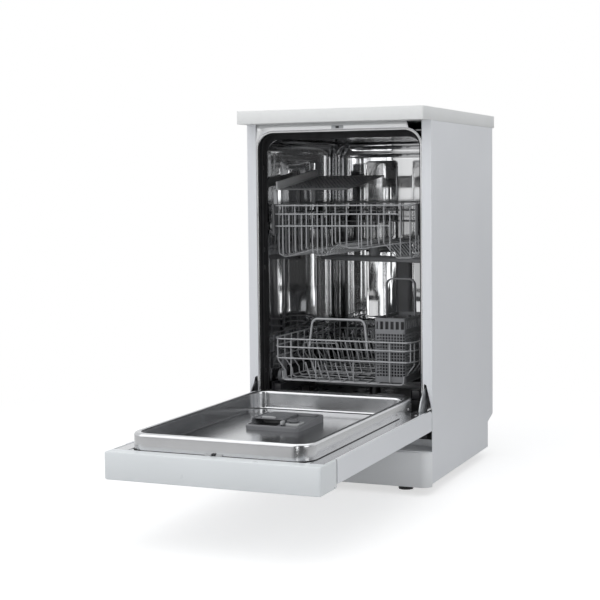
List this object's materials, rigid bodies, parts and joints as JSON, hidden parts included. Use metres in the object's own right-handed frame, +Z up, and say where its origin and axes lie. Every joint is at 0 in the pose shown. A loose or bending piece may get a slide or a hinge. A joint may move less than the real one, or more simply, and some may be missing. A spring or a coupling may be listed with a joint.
{
  "type": "slimline dishwasher",
  "caption": "Narrow free-standing dishwasher with a drop-down door, two sliding wire baskets, spray arms, sump and base.",
  "frame": {"origin": "on the floor, in the middle of the width, and halfway between the open door's front edge and the worktop's rear edge", "axes": "+X to the machine's right seen from the front, +Y from the door to the back, +Z up; the door is stored open"},
  "size_m": [0.448, 1.217, 0.866],
  "materials": {
    "white_steel": "smooth white enamel",
    "worktop_white": "satin white laminate",
    "fascia_white": "semi-gloss white moulding",
    "plinth_white": "satin white moulding",
    "stainless": "polished stainless sheet",
    "galvanised": "dull galvanised sheet",
    "black_rubber": "black rubber",
    "black_plastic": "black moulding",
    "wire_grey": "grey nylon-coated wire",
    "grey_plastic": "mid grey moulding",
    "light_grey_plastic": "light grey moulding",
    "base_plastic": "dark grey moulding",
    "pump_metal": "cast and drawn metal",
    "felt": "grey felt",
    "display_glass": "dark window"
  },
  "bodies": {
    "cabinet": {"worktop": "worktop_white", "side_panel_left": "white_steel", "side_panel_right": "white_steel", "rear_panel": "galvanised", "top_rail": "galvanised", "latch_strike": "light_grey_plastic", "tub_wrap": "stainless", "tub_rear_wall": "stainless", "tub_floor": "stainless", "door_gasket": "black_rubber", "bottom_seal": "black_rubber", "base_tray": "base_plastic", "plinth": "plinth_white", "feet": "black_plastic", "hinge_bracket_left": "galvanised", "hinge_bracket_right": "galvanised", "sump": "grey_plastic", "filter_plate": "stainless", "water_feed_pipe": "grey_plastic", "lower_runners": "grey_plastic", "roller_studs": "stainless", "circulation_pump": "pump_metal", "drain_pump": "black_plastic", "inlet_valve": "light_grey_plastic", "rear_connections": "black_plastic", "softener_tank": "grey_plastic", "insulation_pads": "felt"},
    "door": {"door_liner": "stainless", "door_outer_panel": "white_steel", "control_fascia": "fascia_white", "display_window": "display_glass", "hinge_arm_left": "galvanised", "hinge_arm_right": "galvanised", "door_latch": "black_plastic", "dispenser_body": "grey_plastic"},
    "lower_basket": {"lower_basket_floor": "wire_grey", "lower_basket_walls": "wire_grey", "lower_basket_tines": "wire_grey", "cutlery_basket": "grey_plastic"},
    "upper_basket": {"upper_basket_floor": "wire_grey", "upper_basket_walls": "wire_grey", "upper_channels": "grey_plastic", "shelf_bracket": "wire_grey", "upper_spray_feed": "grey_plastic"},
    "dispenser_lid": {"dispenser_lid": "grey_plastic"},
    "lid_catch": {"lid_catch": "light_grey_plastic"},
    "rinse_aid_cap": {"rinse_aid_cap": "grey_plastic"},
    "power_button": {"power_button": "light_grey_plastic"},
    "program_button": {"program_button": "light_grey_plastic"},
    "option_button": {"option_button": "light_grey_plastic"},
    "start_button": {"start_button": "light_grey_plastic"},
    "lower_spray_arm": {"lower_spray_arm": "grey_plastic"},
    "filter_cylinder": {"filter_cylinder": "grey_plastic"},
    "salt_cap": {"salt_cap": "light_grey_plastic"},
    "rail_rollers_front": {"rail_rollers_front": "light_grey_plastic"},
    "rail_rollers_rear": {"rail_rollers_rear": "light_grey_plastic"},
    "lower_wheels_front": {"lower_wheels_front": "grey_plastic"},
    "lower_wheels_rear": {"lower_wheels_rear": "grey_plastic"},
    "upper_spray_arm": {"upper_spray_arm": "grey_plastic"},
    "cup_shelf": {"cup_shelf": "grey_plastic"}
  },
  "joints": [
    {"name": "door_hinge", "type": "hinge", "parent": "cabinet", "child": "door", "pos_m": [0, 0.05, 0.1765], "axis": [1, 0, 0], "range_deg": [-90, 0]},
    {"name": "lower_basket_slide", "type": "slide", "parent": "cabinet", "child": "lower_basket", "axis": [0, -1, 0], "range_m": [0, 0.4]},
    {"name": "upper_basket_slide", "type": "slide", "parent": "cabinet", "child": "upper_basket", "axis": [0, -1, 0], "range_m": [0, 0.3]},
    {"name": "lower_wheels_front_spin", "type": "hinge", "parent": "lower_basket", "child": "lower_wheels_front", "pos_m": [0, 0.1535, 0.2403], "axis": [1, 0, 0], "continuous": true},
    {"name": "lower_wheels_rear_spin", "type": "hinge", "parent": "lower_basket", "child": "lower_wheels_rear", "pos_m": [0, 0.4385, 0.2403], "axis": [1, 0, 0], "continuous": true},
    {"name": "rail_rollers_front_spin", "type": "hinge", "parent": "cabinet", "child": "rail_rollers_front", "pos_m": [0, 0.1185, 0.6], "axis": [1, 0, 0], "continuous": true},
    {"name": "rail_rollers_rear_spin", "type": "hinge", "parent": "cabinet", "child": "rail_rollers_rear", "pos_m": [0, 0.1735, 0.6], "axis": [1, 0, 0], "continuous": true},
    {"name": "lower_spray_spin", "type": "hinge", "parent": "cabinet", "child": "lower_spray_arm", "pos_m": [0, 0.3185, 0.2], "axis": [0, 0, 1], "continuous": true},
    {"name": "upper_spray_spin", "type": "hinge", "parent": "upper_basket", "child": "upper_spray_arm", "pos_m": [0, 0.3185, 0.521], "axis": [0, 0, 1], "continuous": true},
    {"name": "cup_shelf_fold", "type": "hinge", "parent": "upper_basket", "child": "cup_shelf", "pos_m": [-0.168, 0.0985, 0.684], "axis": [0, -0.9928, -0.1198], "range_deg": [0, 25]},
    {"name": "filter_twist", "type": "hinge", "parent": "cabinet", "child": "filter_cylinder", "pos_m": [0.062, 0.2585, 0.1818], "axis": [0, 0, 1], "range_deg": [0, 90]},
    {"name": "salt_cap_twist", "type": "hinge", "parent": "cabinet", "child": "salt_cap", "pos_m": [-0.095, 0.2235, 0.1803], "axis": [0, 0, 1], "range_deg": [0, 180]},
    {"name": "rinse_aid_twist", "type": "hinge", "parent": "door", "child": "rinse_aid_cap", "pos_m": [0.008, -0.2195, 0.1993], "axis": [0, 0, 1], "range_deg": [0, 90]},
    {"name": "dispenser_lid_slide", "type": "slide", "parent": "door", "child": "dispenser_lid", "axis": [0, -1, 0], "range_m": [0, 0.034]},
    {"name": "lid_catch_press", "type": "slide", "parent": "door", "child": "lid_catch", "axis": [0, 0, -1], "range_m": [0, 0.003], "stiffness_N_per_m": 400},
    {"name": "power_press", "type": "slide", "parent": "door", "child": "power_button", "axis": [0, 0, 1], "range_m": [0, 0.002], "stiffness_N_per_m": 400},
    {"name": "program_press", "type": "slide", "parent": "door", "child": "program_button", "axis": [0, 0, 1], "range_m": [0, 0.002], "stiffness_N_per_m": 400},
    {"name": "option_press", "type": "slide", "parent": "door", "child": "option_button", "axis": [0, 0, 1], "range_m": [0, 0.002], "stiffness_N_per_m": 400},
    {"name": "start_press", "type": "slide", "parent": "door", "child": "start_button", "axis": [0, 0, 1], "range_m": [0, 0.002], "stiffness_N_per_m": 400}
  ],
  "couplings": [
    {"joint": "lower_wheels_front_spin", "follows": "lower_basket_slide", "rad_per_m": 60.606},
    {"joint": "lower_wheels_rear_spin", "follows": "lower_basket_slide", "rad_per_m": 60.606},
    {"joint": "rail_rollers_front_spin", "follows": "upper_basket_slide", "rad_per_m": 114.94},
    {"joint": "rail_rollers_rear_spin", "follows": "upper_basket_slide", "rad_per_m": 114.94}
  ]
}
